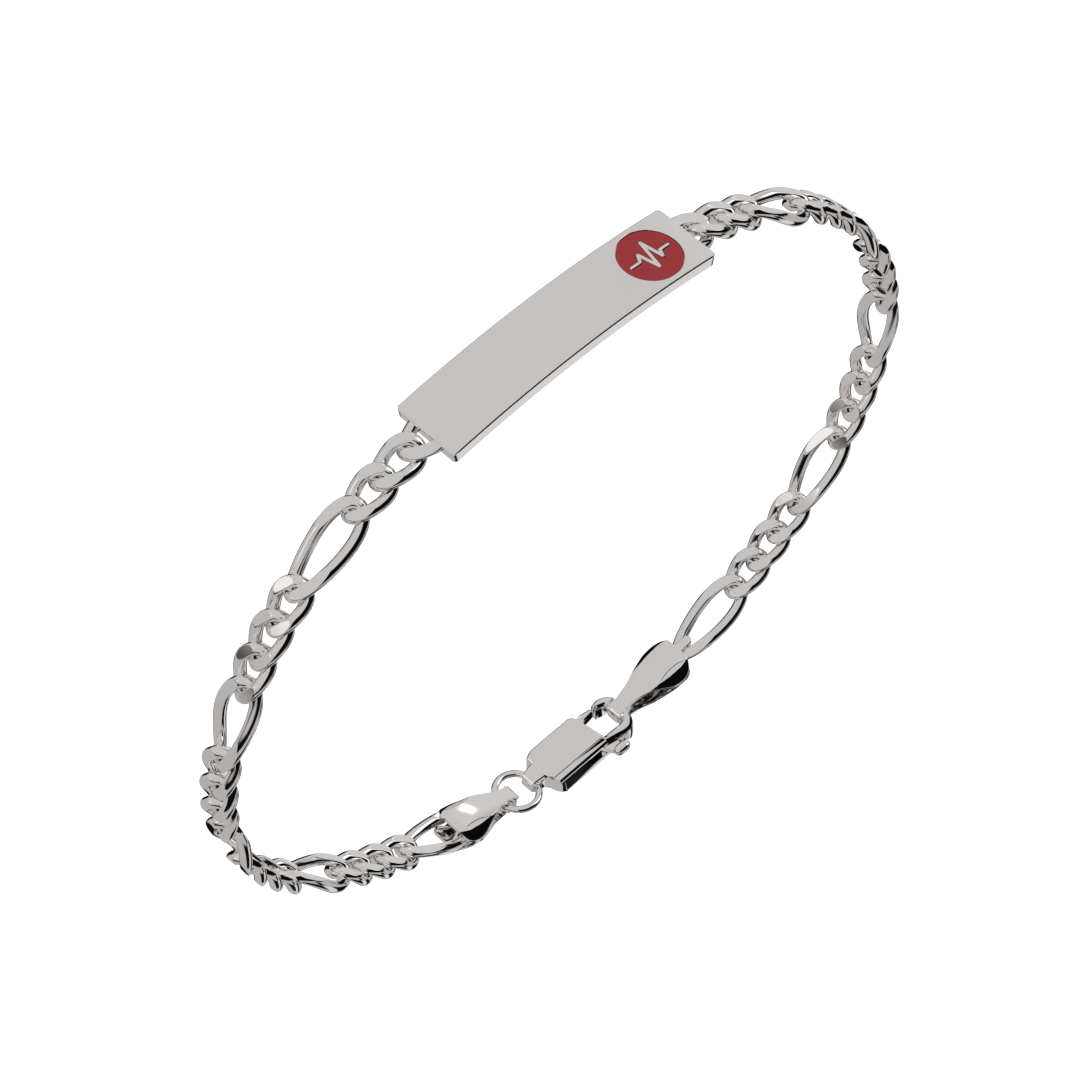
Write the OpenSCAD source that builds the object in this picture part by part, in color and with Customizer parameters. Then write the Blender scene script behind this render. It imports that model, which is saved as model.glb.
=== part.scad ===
// Medical alert bracelet, closed as it is worn: a curved identity plate, a figaro chain on each side of it,
// and a lobster clasp opposite the plate. The loop lies in the XZ plane.
// Origin: centre of the plate's back. +Z: out of the plate's face. +X: along the plate, towards the medallion.
// Turns are counted from the top of the loop, down each side.

/* [Plate] */
// Length of the plate along its curve
plate_len = 25.4; // [22:0.2:32]
// Width of the plate
plate_w = 5.8; // [5.4:0.1:8]
// Thickness of the plate
plate_t = 1.1; // [1:0.1:1.4]
// Radius of the plate's bend, at the middle of its thickness
plate_r = 77; // [50:1:120]
// Bevel along the plate's edges
plate_bevel = 0.12; // [0.05:0.01:0.2]
// Corner radius of the plate's outline
plate_corner = 0.35; // [0.2:0.05:0.8]

/* [Medallion] */
// Distance of the medallion's centre from the middle of the plate, along the curve
medal_s = 8.9; // [7:0.1:9.4]
// Radius of the enamelled recess
medal_r = 2.45; // [2:0.05:2.5]
// Depth of the enamelled recess
medal_depth = 0.35; // [0.2:0.05:0.5]
// Width of the raised pulse line
pulse_w = 0.3; // [0.2:0.02:0.4]

/* [Loop] */
// Bend between the plate's end and the chain on the left side
left_kink = 5.9; // [0:0.1:14]
// Radius of the bend below the plate on the left side
left_upper_r = 26.7; // [24:0.1:36]
// Turn where that bend ends
left_upper_end = 62.8; // [50:0.1:72]
// Radius of the bend at the left side of the loop
left_side_r = 25.5; // [21:0.1:28]
// Turn where that bend ends
left_side_end = 127.5; // [110:0.1:140]
// Radius of the bend at the bottom of the left side
left_lower_r = 40.6; // [30:0.1:48]
// Bend between the plate's end and the chain on the right side
right_kink = 10.9; // [0:0.1:14]
// Radius of the bend below the plate on the right side
right_upper_r = 34.1; // [24:0.1:36]
// Turn where that bend ends
right_upper_end = 69.7; // [50:0.1:72]
// Radius of the bend at the right side of the loop
right_side_r = 24.3; // [21:0.1:28]
// Turn where that bend ends
right_side_end = 133.6; // [110:0.1:145]
// Radius of the bend at the bottom of the right side
right_lower_r = 42.4; // [30:0.1:48]

/* [Links] */
// Half length of a small link, to the middle of its wire
small_a = 1.97; // [1.9:0.01:2.1]
// Half length of a long link, to the middle of its wire
long_a = 3.91; // [3.6:0.01:4.4]
// Half width of a small link, to the middle of its wire
small_b = 1.15; // [1.14:0.01:1.22]
// Half width of a long link, to the middle of its wire
long_b = 1.38; // [1.36:0.01:1.44]
// Rise of a link's two high corners above the middle of the chain
link_twist = 0.45; // [0.44:0.01:0.48]
// Width of the wire
wire_w = 0.96; // [0.9:0.01:0.96]
// Height of the wire
wire_h = 0.54; // [0.48:0.01:0.54]
// Play between two linked wires
link_play = 0.12; // [0.11:0.01:0.16]

/* [End caps] */
// Length of a cap from its mouth to its folded tip
cap_len = 7.9; // [7.7:0.1:8.2]
// Half width of a cap at its widest
cap_w = 2.05; // [1.9:0.05:2.2]
// Thickness of the folded sheet
cap_sheet = 0.28; // [0.24:0.01:0.32]
// Tilt of the left cap's axis
left_cap_tilt = -20.6; // [-23:0.2:-18]
// Tilt of the right cap's axis
right_cap_tilt = 9.2; // [7:0.2:11]

/* [Clasp] */
// Thickness of the clasp's body
clasp_t = 2.05; // [1.95:0.05:2.2]
// Radius of the jump ring, to the middle of its wire
ring_r = 1.8; // [1.75:0.05:1.9]
// Thickness of the jump ring's wire
ring_wire = 0.6; // [0.5:0.02:0.62]
// Thickness of the clasp's lever
lever_t = 0.6; // [0.5:0.02:0.62]
// Radius of the pin that the lever turns on
pin_r = 0.32; // [0.28:0.01:0.34]
// Radial play of the lever on its pin
pin_play = 0.04; // [0.02:0.01:0.08]

/* [Hidden] */
$fn = 48;
silver = [0.78, 0.77, 0.76];
enamel_red = [0.55, 0.15, 0.17];
link_rings = 16;
wire_sides = 6;
wire_flat = 0.26;
half_b = 1.3;
half_root = 0.45;
first_joint = 14.04 - 12.7 + plate_len / 2;
plate_turn = plate_len / 2 / plate_r * 180 / PI;
loop_z = plate_t / 2;
small_pitch = 2 * small_a - wire_w - link_play;
long_pitch = 2 * long_a - wire_w - link_play;
half_a = first_joint + (wire_w + link_play) / 2 - plate_len / 2 + half_root;
pattern = ["s", "s", "L", "s", "s", "s", "L", "s", "s", "s", "L", "s", "s", "s", "L", "s", "s", "s", "L"];
pitches = [for (k = pattern) k == "L" ? long_pitch : small_pitch];
last = len(pattern);

// Below the plate each side of the loop is a row of arcs: radius, and the turn where the arc ends.
left_arcs = [[left_upper_r, left_upper_end], [left_side_r, left_side_end], [left_lower_r, 220]];
right_arcs = [[right_upper_r, right_upper_end], [right_side_r, right_side_end], [right_lower_r, 220]];
left_start = plate_turn + left_kink;
right_start = plate_turn + right_kink;

// The first joint lies straight out from the plate's end: [distance from the middle, height].
lead = first_joint - plate_len / 2;
start_x = plate_r * sin(plate_turn) + lead * cos(plate_turn);
start_z = plate_r * (cos(plate_turn) - 1) - lead * sin(plate_turn);

// Point at distance u from the first joint, before the left side is mirrored.
function arc_point(arcs, u, f0, x, z, i = 0) =
    let (r = arcs[i][0], f1 = arcs[i][1], l = r * (f1 - f0) * PI / 180)
    u <= l || i == len(arcs) - 1
        ? let (f = f0 + u / r * 180 / PI) [x + r * (sin(f) - sin(f0)), z + r * (cos(f) - cos(f0))]
        : arc_point(arcs, u - l, f1, x + r * (sin(f1) - sin(f0)), z + r * (cos(f1) - cos(f0)), i + 1);
function loop_point(side, u) =
    let (p = side < 0 ? arc_point(left_arcs, u, left_start, start_x, start_z)
                      : arc_point(right_arcs, u, right_start, start_x, start_z))
    [side * p[0], loop_z + p[1]];

// The next joint lies one straight pitch further along the loop.
function next_joint(side, u, pitch, step, tries) =
    tries == 0 ? u + step
    : let (straight = norm(loop_point(side, u + step) - loop_point(side, u)))
      next_joint(side, u, pitch, step * pitch / straight, tries - 1);
function joints_from(side, u, i = 0) =
    i == last ? [u]
    : concat([u], joints_from(side, next_joint(side, u, pitches[i], pitches[i], 4), i + 1));
left_joints = [for (u = joints_from(-1, 0)) loop_point(-1, u)];
right_joints = [for (u = joints_from(1, 0)) loop_point(1, u)];

// The closure hangs between the last joints. All of its points are [x, z].
function way(tilt) = [cos(tilt), sin(tilt)];
left_way = way(left_cap_tilt);
right_way = -way(right_cap_tilt);
left_joint_c = 2.1;
right_joint_c = -0.5;
left_mouth = left_joints[last] - left_joint_c * left_way;
right_mouth = right_joints[last] - right_joint_c * right_way;
fold_in = 0.6;
fold_out = fold_in + cap_sheet;
fold_c = cap_len - fold_out;
ring_tilt = -8;
ring_c = fold_c - 0.7;
ring_mid = left_mouth + ring_c * left_way + ring_r * way(ring_tilt);
tail_point = ring_mid + ring_r * way(ring_tilt);
bar_r = 0.4;
bar_play = 0.08;
bar_point = right_mouth + (fold_c + fold_in - bar_r - bar_play) * right_way;
tail_s = 0.6;
tail_d = 0.94;
bar_d = 1.56;
closure = bar_point - tail_point;
bar_s = tail_s + sqrt(closure * closure - pow(bar_d - tail_d, 2));
clasp_tilt = atan2(closure[1], closure[0]) + atan2(bar_d - tail_d, bar_s - tail_s);
clasp_origin = tail_point - tail_s * way(clasp_tilt) + tail_d * way(clasp_tilt + 90);
stretch = bar_s - 10.2;
pivot = [5.9 + stretch, 0.75];
slot_d = 0.55;
slot_t = 0.74;
lever_d = slot_d + (slot_t - lever_t) / 2;
pin_fit = 0.02;

// Puts a piece that is drawn along X onto the straight line between two points of the loop's plane.
module along(a, b) {
    mid = (a + b) / 2;
    translate([mid[0], 0, mid[1]]) rotate([0, -atan2(b[1] - a[1], b[0] - a[0]), 0]) children();
}
// Puts a piece at a point of the loop's plane, with its X axis along the given tilt.
module at(p, tilt) {
    translate([p[0], 0, p[1]]) rotate([0, -tilt, 0]) children();
}
// Puts a piece that is drawn flat, outer side up, onto the plate's curve.
module on_plate(s) {
    turn = s / plate_r * 180 / PI;
    at([plate_r * sin(turn), loop_z + plate_r * (cos(turn) - 1)], -turn) children();
}
// Extrudes a profile of X and Z along Y, w on each side of the middle.
module across(w) {
    rotate([90, 0, 0]) linear_extrude(2 * w, center = true) children();
}

// A link's wire line is an oval whose high corners are at the ends of one diagonal.
function link_line(a, b, t) = [a * cos(t), b * sin(t), link_twist * sin(2 * t)];
function unit(v) = v / norm(v);
function wire_ring(a, b, t) =
    let (p = link_line(a, b, t), along_wire = unit(link_line(a, b, t + 1) - link_line(a, b, t - 1)),
         side = unit(cross(along_wire, [0, 0, 1])), up = cross(side, along_wire))
    [for (q = [[0.5, 0], [wire_flat, 0.5], [-wire_flat, 0.5], [-0.5, 0], [-wire_flat, -0.5], [wire_flat, -0.5]])
        p + side * q[0] * wire_w + up * q[1] * wire_h];

module wire_mesh(rings, closed) {
    n = len(rings);
    end = closed ? n - 1 : n - 2;
    points = [for (r = rings) for (p = r) p];
    sides = [for (i = [0:end]) for (k = [0:wire_sides - 1])
        let (a = i * wire_sides + k, b = i * wire_sides + (k + 1) % wire_sides,
             c = ((i + 1) % n) * wire_sides + (k + 1) % wire_sides, d = ((i + 1) % n) * wire_sides + k)
        each [[a, b, c], [a, c, d]]];
    caps = closed ? [] : [[for (k = [wire_sides - 1:-1:0]) k],
        [for (k = [0:wire_sides - 1]) (n - 1) * wire_sides + k]];
    polyhedron(points, concat(sides, caps), convexity = 6);
}

module link(a, b) {
    wire_mesh([for (i = [0:link_rings - 1]) wire_ring(a, b, i * 360 / link_rings)], true);
}

module half_link(side) {
    start = side > 0 ? -90 : 90;
    wire_mesh([for (i = [0:8]) wire_ring(half_a, half_b, start + i * 22.5)], false);
}

module chain_link(side, i) {
    j = side < 0 ? left_joints : right_joints;
    a = side < 0 ? j[i + 1] : j[i];
    b = side < 0 ? j[i] : j[i + 1];
    color(silver) along(a, b)
        if (pattern[i] == "L") link(long_a, long_b);
        else link(small_a, small_b);
}

// The plate is a sector of a ring about the Y axis, with bevelled edges and rounded corners.
module plate_section() {
    h = plate_t / 2;
    w = plate_w / 2;
    c = plate_bevel;
    translate([plate_r, 0]) polygon([[-h + c, -w], [h - c, -w], [h, -w + c], [h, w - c], [h - c, w],
        [-h + c, w], [-h, w - c], [-h, -w + c]]);
}

module plate_outline() {
    l = plate_r * sin(plate_turn);
    w = plate_w / 2;
    r = plate_corner;
    square([2 * l, plate_w - 2 * r], center = true);
    square([2 * (l - r), plate_w], center = true);
    for (x = [-1, 1], y = [-1, 1]) translate([x * (l - r), y * (w - r)]) circle(r);
}

module plate_blank() {
    intersection() {
        translate([0, 0, loop_z - plate_r]) rotate([90, 0, 0])
            rotate([0, 0, 90 - plate_turn - 1])
                rotate_extrude(angle = 2 * plate_turn + 2, $fn = 180) plate_section();
        translate([0, 0, -5]) linear_extrude(10) plate_outline();
    }
}

// The raised line of the medallion: a resting pulse with one beat.
pulse = [[-1.8, 0], [-0.95, 0], [-0.6, 0.6], [-0.15, -1.15], [0.35, 1.35], [0.75, -0.55], [1, 0], [1.8, 0]];
module pulse_line(w) {
    for (i = [0:len(pulse) - 2]) {
        a = pulse[i] * medal_r / 2.45;
        b = pulse[i + 1] * medal_r / 2.45;
        translate(a) rotate(atan2(b[1] - a[1], b[0] - a[0])) translate([0, -w / 2]) square([norm(b - a), w]);
        translate(a) circle(w / 2);
    }
    translate(pulse[len(pulse) - 1] * medal_r / 2.45) circle(w / 2);
}

module plate() {
    color(silver) {
        difference() {
            plate_blank();
            on_plate(medal_s) translate([0, 0, loop_z - medal_depth]) cylinder(r = medal_r, h = 2);
        }
        on_plate(medal_s) translate([0, 0, loop_z - medal_depth - 0.1])
            linear_extrude(medal_depth + 0.06) pulse_line(pulse_w);
        for (side = [-1, 1]) on_plate(side * (plate_len / 2 - half_root)) half_link(side);
    }
}

module medallion_enamel() {
    color(enamel_red) on_plate(medal_s) translate([0, 0, loop_z - medal_depth + 0.02])
        linear_extrude(medal_depth - 0.1) difference() {
            circle(medal_r - 0.03);
            pulse_line(pulse_w + 0.06);
        }
}

// A cap is two leaves joined by the fold at its narrow end, drawn with its mouth at 0 and its axis along X.
// From the mouth: [distance, half height of the hollow].
cap_hollow = [[-1, 0.86], [0, 0.86], [0.9, 1], [1.8, 1.03], [4.6, 0.84], [fold_c, fold_in]];
cap_plan = [[0, 1.1], [0.35, 1.6], [0.9, 1.95], [1.5, cap_w], [2.2, 2.0], [3.5, 1.5], [4.6, 1.05], [5.6, 0.76],
    [6.6, 0.64], [cap_len - 0.15, 0.6], [cap_len, 0.45]];
// A line of points above the X axis, closed by its mirror image, with t added on both sides.
function mirrored(line, t) = concat([for (p = line) [p[0], p[1] + t]],
    [for (i = [len(line) - 1:-1:0]) [line[i][0], -line[i][1] - t]]);
module cap_profile(t) {
    polygon(mirrored(cap_hollow, t));
    translate([fold_c, 0]) circle(fold_in + t);
}
module cap_outline() {
    polygon(mirrored(cap_plan, 0));
}
// Section across the axis: a flat top that falls off towards the two edges.
module cap_roof(t) {
    ridge = 0.85;
    top = 1.06 + t;
    edge = 0.53 + t;
    slope = (top - edge) / (2.05 - ridge);
    out = 2.3;
    low = top - slope * (out - ridge);
    polygon([[-ridge, top], [-out, low], [-out, -low], [-ridge, -top],
        [ridge, -top], [out, -low], [out, low], [ridge, top]]);
}
module end_cap(joint_c) {
    post_c = joint_c - 0.52;
    color(silver) {
        difference() {
            intersection() {
                across(3) cap_profile(cap_sheet);
                translate([0, 0, -3]) linear_extrude(6) cap_outline();
                translate([-2, 0, 0]) rotate([90, 0, 90]) linear_extrude(12) cap_roof(cap_sheet);
            }
            intersection() {
                across(3) cap_profile(0);
                translate([-3, 0, 0]) rotate([90, 0, 90]) linear_extrude(14) cap_roof(0);
            }
        }
        // The post through the long link's hole, on two short tongues where it lies before the mouth.
        translate([post_c, 0, -1.05]) cylinder(r = 0.27, h = 2.1);
        if (post_c < 0.3)
            for (z = [-1.1, 0.82]) translate([0, 0, z]) linear_extrude(0.28) {
                translate([post_c, 0]) circle(0.4);
                translate([post_c, -0.4]) square([0.5 - post_c, 0.8]);
            }
    }
}
module end_cap_left() { at(left_mouth, left_cap_tilt) end_cap(left_joint_c); }
module end_cap_right() { at(right_mouth, right_cap_tilt + 180) end_cap(right_joint_c); }

module jump_ring() {
    color(silver) at(ring_mid, ring_tilt) rotate_extrude() translate([ring_r, 0]) circle(ring_wire / 2, $fn = 24);
}

// The clasp is drawn with its tail's end at 0, its inner face at z = 0 and its depth towards -Z.
// Points beyond the middle of the body move with its length.
function far(points) = [for (p = points) [p[0] + (p[0] > 4 ? stretch : 0), p[1]]];
body_end = [[7.3, -1.4], [7.22, -1.07], [7, 0.3], [6.8, 1.3], [6.5, 1.7], [6.15, 1.84], [2.09, 1.84], [1.2, 1.41]];
body_plan = far(concat([[1.15, -0.8], [1.85, -2.06], [2.2, -2.2], [7.13, -2.06]], body_end));
body_low = far(concat([[1.15, -0.8], [1.85, -2.1], [2.2, -2.36], [7.13, -2.3]], body_end));
tail_plan = [[-0.3, -0.58], [0.5, -0.7], [1.6, -0.84], [1.6, 0.84], [0.5, 0.74], [-0.3, 0.58]];
arm_top = far([[6.9, -2.08], [9.3, -2.12], [9.75, -1.7], [9.95, -1.35], [9.2, -1.34], [7.4, -1.36]]);
arm_low = far([[6.9, -2.15], [8.9, -2.5], [9.6, -2.4], [10.1, -1.9], [10.2, -1.35], [9.2, -1.34], [7.4, -1.36]]);
end_top = far([[9.3, -2.1], [9.95, -1.6], [10.25, -0.95], [9.85, -0.8], [9.1, -1.34]]);
end_low = far([[9.4, -2.45], [10.1, -2.1], [10.62, -1.3], [10.7, -0.6], [9.8, -0.6], [9.2, -1.34]]);
tip_top = far([[8.6, 1.15], [8.7, 1.5], [9.45, 1.5], [10.05, 1.15], [10.35, 0.75], [9.8, 0.6], [9.35, 1.02]]);
tip_low = far([[8.5, 0.8], [8.68, 1.62], [9.55, 1.64], [10.2, 1.3], [10.6, 0.85], [10.75, 0.3], [9.8, 0.3],
    [9, 0.6]]);
slot_plan = far([[5.15, 0.75], [5.3, 1.25], [5.9, 1.5], [6.4, 1.6], [7.6, 1.8], [7.6, -0.9], [9.05, -1.9],
    [9.05, -3.4], [4.95, -3.4]]);
gate_root = far([[5.9, 0.15], [7.15, 0.84], [7.5, 0.88], [7.5, 1.58], [7, 1.5], [5.9, 1.37]]);
gate_plan = far([[7.2, 0.84], [8.32, 0.97], [8.37, 1.4], [7.2, 1.57]]);
knob_root = far([[5.35, 0.45], [5.9, 0.1], [6.5, 0.5], [7.95, -2.2], [8, -2.75], [7.05, -2.75]]);
knob_at = [7.8 + stretch, -2.95];

// Extrudes a plan of the clasp from depth d over a thickness t.
module layer(d, t) {
    translate([0, 0, -d - t]) linear_extrude(t) children();
}
module clasp_blank() {
    hull() {
        layer(0, clasp_t) offset(delta = -0.2) polygon(body_plan);
        layer(0.25, 0.22) polygon(body_plan);
        layer(0.9, clasp_t - 1.15) polygon(body_low);
    }
    intersection() {
        across(2) {
            translate([0, -tail_d]) square([1.6, tail_d]);
            translate([tail_s + 0.1, -tail_d]) circle(0.9);
            translate([tail_s, -tail_d - 0.8]) square([1.2, 1]);
        }
        translate([0, 0, -3]) linear_extrude(4) polygon(tail_plan);
    }
    hull() {
        layer(0.02, 0.2) polygon(arm_top);
        layer(0.5, clasp_t - 0.7) polygon(arm_low);
    }
    hull() {
        layer(0.2, 0.2) polygon(end_top);
        layer(0.9, 1.13) polygon(end_low);
    }
    hull() {
        layer(0.3, 0.2) polygon(tip_top);
        layer(1, 1) polygon(tip_low);
    }
    translate([bar_s, 1.2, -bar_d]) rotate([90, 0, 0]) cylinder(r = bar_r, h = 2.4);
}
module clasp_body() {
    color(silver) at(clasp_origin, clasp_tilt) difference() {
        clasp_blank();
        // Hole for the jump ring
        translate([tail_s - 0.08, 2, 0.015 - tail_d]) rotate([90, 0, 0]) cylinder(r = 0.45, h = 4);
        // Neck of the hook's bar, where the cap's fold goes round it
        difference() {
            translate([bar_s - 1.1, -0.74, -3]) cube([2.4, 1.48, 4]);
            translate([bar_s, 1, -bar_d]) rotate([90, 0, 0]) cylinder(r = bar_r, h = 2);
        }
        // Slot and bore for the lever
        layer(slot_d, slot_t) {
            polygon(slot_plan);
            translate(pivot) circle(0.75);
        }
        translate([pivot[0], pivot[1], -3]) cylinder(r = pin_r + pin_fit, h = 2.82);
    }
}

module clasp_lever() {
    color(silver) at(clasp_origin, clasp_tilt) difference() {
        union() {
            layer(lever_d, lever_t) {
                translate(pivot) circle(0.65);
                polygon(gate_root);
                polygon(knob_root);
            }
            layer(0.5, 1) polygon(gate_plan);
            translate([knob_at[0], knob_at[1], -lever_d - lever_t / 2]) {
                intersection() {
                    sphere(0.78);
                    cube([2, 0.9, 0.96], center = true);
                }
                translate([-0.2, 0.4, 0]) cylinder(r = 0.45, h = lever_t, center = true);
            }
        }
        translate([pivot[0], pivot[1], -3]) cylinder(r = pin_r + pin_play, h = 4);
    }
}

module lever_pin() {
    color(silver) at(clasp_origin, clasp_tilt) translate([pivot[0], pivot[1], -clasp_t + 0.01])
        cylinder(r = pin_r, h = clasp_t - 0.22);
}

function link_names(side) = [for (i = [1:19]) str("link_", side, i < 10 ? "_0" : "_", i)];

plate();
medallion_enamel();
end_cap_left();
end_cap_right();
jump_ring();
clasp_body();
clasp_lever();
lever_pin();
for (i = [0:18]) chain_link(-1, i);
for (i = [0:18]) chain_link(1, i);
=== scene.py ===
"""Looks of the medical alert bracelet: a curved identity plate with an enamelled medallion, a figaro chain of
twisted, ground-flat links on each side of it, and a lobster clasp with its jump ring and two folded end caps.

Every piece is a surface worked out on a grid in the CAD's own frame. Sizes are in millimetres until a mesh is
made, and metres in the scene.
"""
import math

import bpy
import numpy as np
from mathutils import Matrix


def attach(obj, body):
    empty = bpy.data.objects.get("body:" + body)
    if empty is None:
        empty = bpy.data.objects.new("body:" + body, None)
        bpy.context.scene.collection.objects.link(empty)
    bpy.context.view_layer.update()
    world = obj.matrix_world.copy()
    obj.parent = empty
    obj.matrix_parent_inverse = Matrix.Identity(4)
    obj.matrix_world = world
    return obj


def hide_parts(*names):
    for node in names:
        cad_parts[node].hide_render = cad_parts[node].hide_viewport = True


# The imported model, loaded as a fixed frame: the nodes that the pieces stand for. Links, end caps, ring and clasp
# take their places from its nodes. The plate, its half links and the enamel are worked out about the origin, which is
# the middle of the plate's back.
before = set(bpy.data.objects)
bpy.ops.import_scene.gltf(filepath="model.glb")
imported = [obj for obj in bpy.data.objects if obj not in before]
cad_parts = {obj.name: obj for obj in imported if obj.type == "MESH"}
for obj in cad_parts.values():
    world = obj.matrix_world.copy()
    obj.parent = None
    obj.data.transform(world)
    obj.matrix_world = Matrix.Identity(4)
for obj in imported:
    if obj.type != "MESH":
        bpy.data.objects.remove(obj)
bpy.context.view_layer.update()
MM = 0.001


def node_points(name):
    """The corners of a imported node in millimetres, each one once: its mesh repeats a corner for every triangle."""
    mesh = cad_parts[name].data
    flat = np.empty(len(mesh.vertices) * 3, np.float32)
    mesh.vertices.foreach_get("co", flat)
    return np.unique(np.round(flat.reshape(-1, 3) / MM, 4), axis=0)


# The camera stands at the photograph's angle, with a long lens. Its place is the middle of the loop plus the
# distance along the line of sight; the shift puts the loop where the photograph has it in the frame.
VIEW_TURN, VIEW_RISE, VIEW_ROLL = (math.radians(a) for a in (-44.560, 54.809, 0.498))
VIEW_DISTANCE = 293.19
VIEW_MIDDLE = np.array([0, 0, -23.45])
SENSOR = 36
VIEW_LENS = 131.77
VIEW_SHIFT = (-0.01555, -0.01408)
VIEW_NEAR = 0.01

sight = np.array([math.sin(VIEW_TURN) * math.cos(VIEW_RISE), -math.cos(VIEW_TURN) * math.cos(VIEW_RISE),
                  math.sin(VIEW_RISE)])
level = np.array([math.cos(VIEW_TURN), math.sin(VIEW_TURN), 0])
upright = np.cross(sight, level)
across_view = level * math.cos(VIEW_ROLL) + upright * math.sin(VIEW_ROLL)
up_view = upright * math.cos(VIEW_ROLL) - level * math.sin(VIEW_ROLL)
camera_data = bpy.data.cameras.new("camera")
camera_data.lens = VIEW_LENS
camera_data.sensor_width = SENSOR
camera_data.shift_x, camera_data.shift_y = VIEW_SHIFT
camera_data.clip_start = VIEW_NEAR
camera = bpy.data.objects.new("camera", camera_data)
bpy.context.scene.collection.objects.link(camera)
placing = np.eye(4)
placing[:3, 0], placing[:3, 1], placing[:3, 2] = across_view, up_view, sight
placing[:3, 3] = (VIEW_MIDDLE + VIEW_DISTANCE * sight) * MM
camera.matrix_world = Matrix(placing.tolist())
bpy.context.scene.camera = camera


# The chain: 19 loose links a side of round silver wire, bent to an oval, twisted so that two corners rise and
# two sink, linked and ground flat on both faces of the chain. Three small links lie between two long ones.
def node_frame(name):
    """Middle, direction along and direction out of the chain of a node that lies across the loop's plane: the
    mean of its corners, the direction in XZ in which they spread most, and that direction turned up."""
    points = node_points(name)
    middle = points.mean(axis=0)
    middle[1] = 0
    spread = (points - middle)[:, [0, 2]]
    directions = np.linalg.eigh(spread.T @ spread)[1]
    along = np.array([directions[0, 1], 0, directions[1, 1]])
    return middle, along, np.array([-along[2], 0, along[0]])


def placed(points, place):
    """Moves points (s, y, n) to the frame (middle, along, out): middle + s along + y Y + n out."""
    middle, along, out = place
    return middle + points[..., :1] * along + points[..., 1:2] * np.array([0, 1, 0]) + points[..., 2:] * out


def skin(rows, columns, closed_rows, closed_columns):
    """Four-sided faces between the neighbours of a grid of points that are numbered row by row."""
    i = np.arange(rows if closed_rows else rows - 1)[:, None]
    j = np.arange(columns if closed_columns else columns - 1)[None, :]
    below, beside = (i + 1) % rows, (j + 1) % columns
    corners = [i * columns + j, below * columns + j, below * columns + beside, i * columns + beside]
    return np.stack(corners, axis=-1).reshape(-1, 4).tolist()


def node(tree, kind, settings=None, inputs=None):
    """Adds a shader node, sets its properties and inputs, and links those inputs that are given as sockets."""
    made = tree.nodes.new(kind)
    for key, value in (settings or {}).items():
        setattr(made, key, value)
    for key, value in (inputs or {}).items():
        if isinstance(value, bpy.types.NodeSocket):
            tree.links.new(value, made.inputs[key])
        else:
            made.inputs[key].default_value = value
    return made


# Handling haze: soft clouds of finest scratches, from 0 for fresh polish to 1 for the dullest places.
HAZE_DETAIL, HAZE_FROM, HAZE_TO = 3.0, 0.35, 0.75
haze = bpy.data.node_groups.new("handling_haze", "ShaderNodeTree")
for name, kind in (("Position", "NodeSocketVector"), ("Clouds per Metre", "NodeSocketFloat")):
    haze.interface.new_socket(name, in_out="INPUT", socket_type=kind)
haze.interface.new_socket("Haze", in_out="OUTPUT", socket_type="NodeSocketFloat")
given = node(haze, "NodeGroupInput").outputs
clouds = node(haze, "ShaderNodeTexNoise", None, {"Vector": given["Position"], "Scale": given["Clouds per Metre"],
                                                 "Detail": HAZE_DETAIL})
scratched = node(haze, "ShaderNodeMapRange", None,
                 {"Value": clouds.outputs["Fac"], "From Min": HAZE_FROM, "From Max": HAZE_TO})
node(haze, "NodeGroupOutput", None, {"Haze": scratched.outputs["Result"]})

# Polished silver: a mirror, a little warm, and a little duller and darker under the haze. The sockets of a colour
# mix are given by number, because its number and vector sockets have the same names.
MIX_FIRST, MIX_SECOND, MIX_RESULT = 6, 7, 2
SILVER_CLOUDS, SILVER_POLISH, SILVER_DULL = 260.0, 0.03, 0.075
SILVER_FRESH, SILVER_HAZED = (0.968, 0.95, 0.938, 1), (0.945, 0.925, 0.912, 1)
silver = bpy.data.materials.new("polished_silver")
silver.use_nodes = True
tree = silver.node_tree
shader = tree.nodes["Principled BSDF"]
shader.inputs["Metallic"].default_value = 1.0
place = node(tree, "ShaderNodeTexCoord").outputs["Object"]
worn = node(tree, "ShaderNodeGroup", {"node_tree": haze},
            {"Position": place, "Clouds per Metre": SILVER_CLOUDS}).outputs["Haze"]
dull = node(tree, "ShaderNodeMapRange", None, {"Value": worn, "To Min": SILVER_POLISH, "To Max": SILVER_DULL})
tone = node(tree, "ShaderNodeMix", {"data_type": "RGBA"},
            {"Factor": worn, MIX_FIRST: SILVER_FRESH, MIX_SECOND: SILVER_HAZED})
tree.links.new(dull.outputs["Result"], shader.inputs["Roughness"])
tree.links.new(tone.outputs[MIX_RESULT], shader.inputs["Base Color"])


def silver_piece(name, points, faces, body, crease=None, crisp=None, columns=1):
    """A mesh object of polished silver from points in millimetres. It is smooth but for edges that turn by more
    than crease degrees, or for the edges along a column of a grid whose two ends are marked crisp."""
    mesh = bpy.data.meshes.new(name)
    mesh.from_pydata((points.reshape(-1, 3) * MM).tolist(), [], faces)
    mesh.shade_smooth()
    if crease:
        mesh.set_sharp_from_angle(angle=math.radians(crease))
    if crisp is not None:
        ends = np.empty(len(mesh.edges) * 2, np.int32)
        mesh.edges.foreach_get("vertices", ends)
        ends = ends.reshape(-1, 2)
        sharp = crisp.ravel()[ends].all(axis=1) & (ends[:, 0] % columns == ends[:, 1] % columns)
        mesh.attributes.new("sharp_edge", "BOOLEAN", "EDGE").data.foreach_set("value", sharp)
    mesh.materials.append(silver)
    piece = bpy.data.objects.new(name, mesh)
    bpy.context.scene.collection.objects.link(piece)
    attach(piece, body)
    return piece


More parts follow.
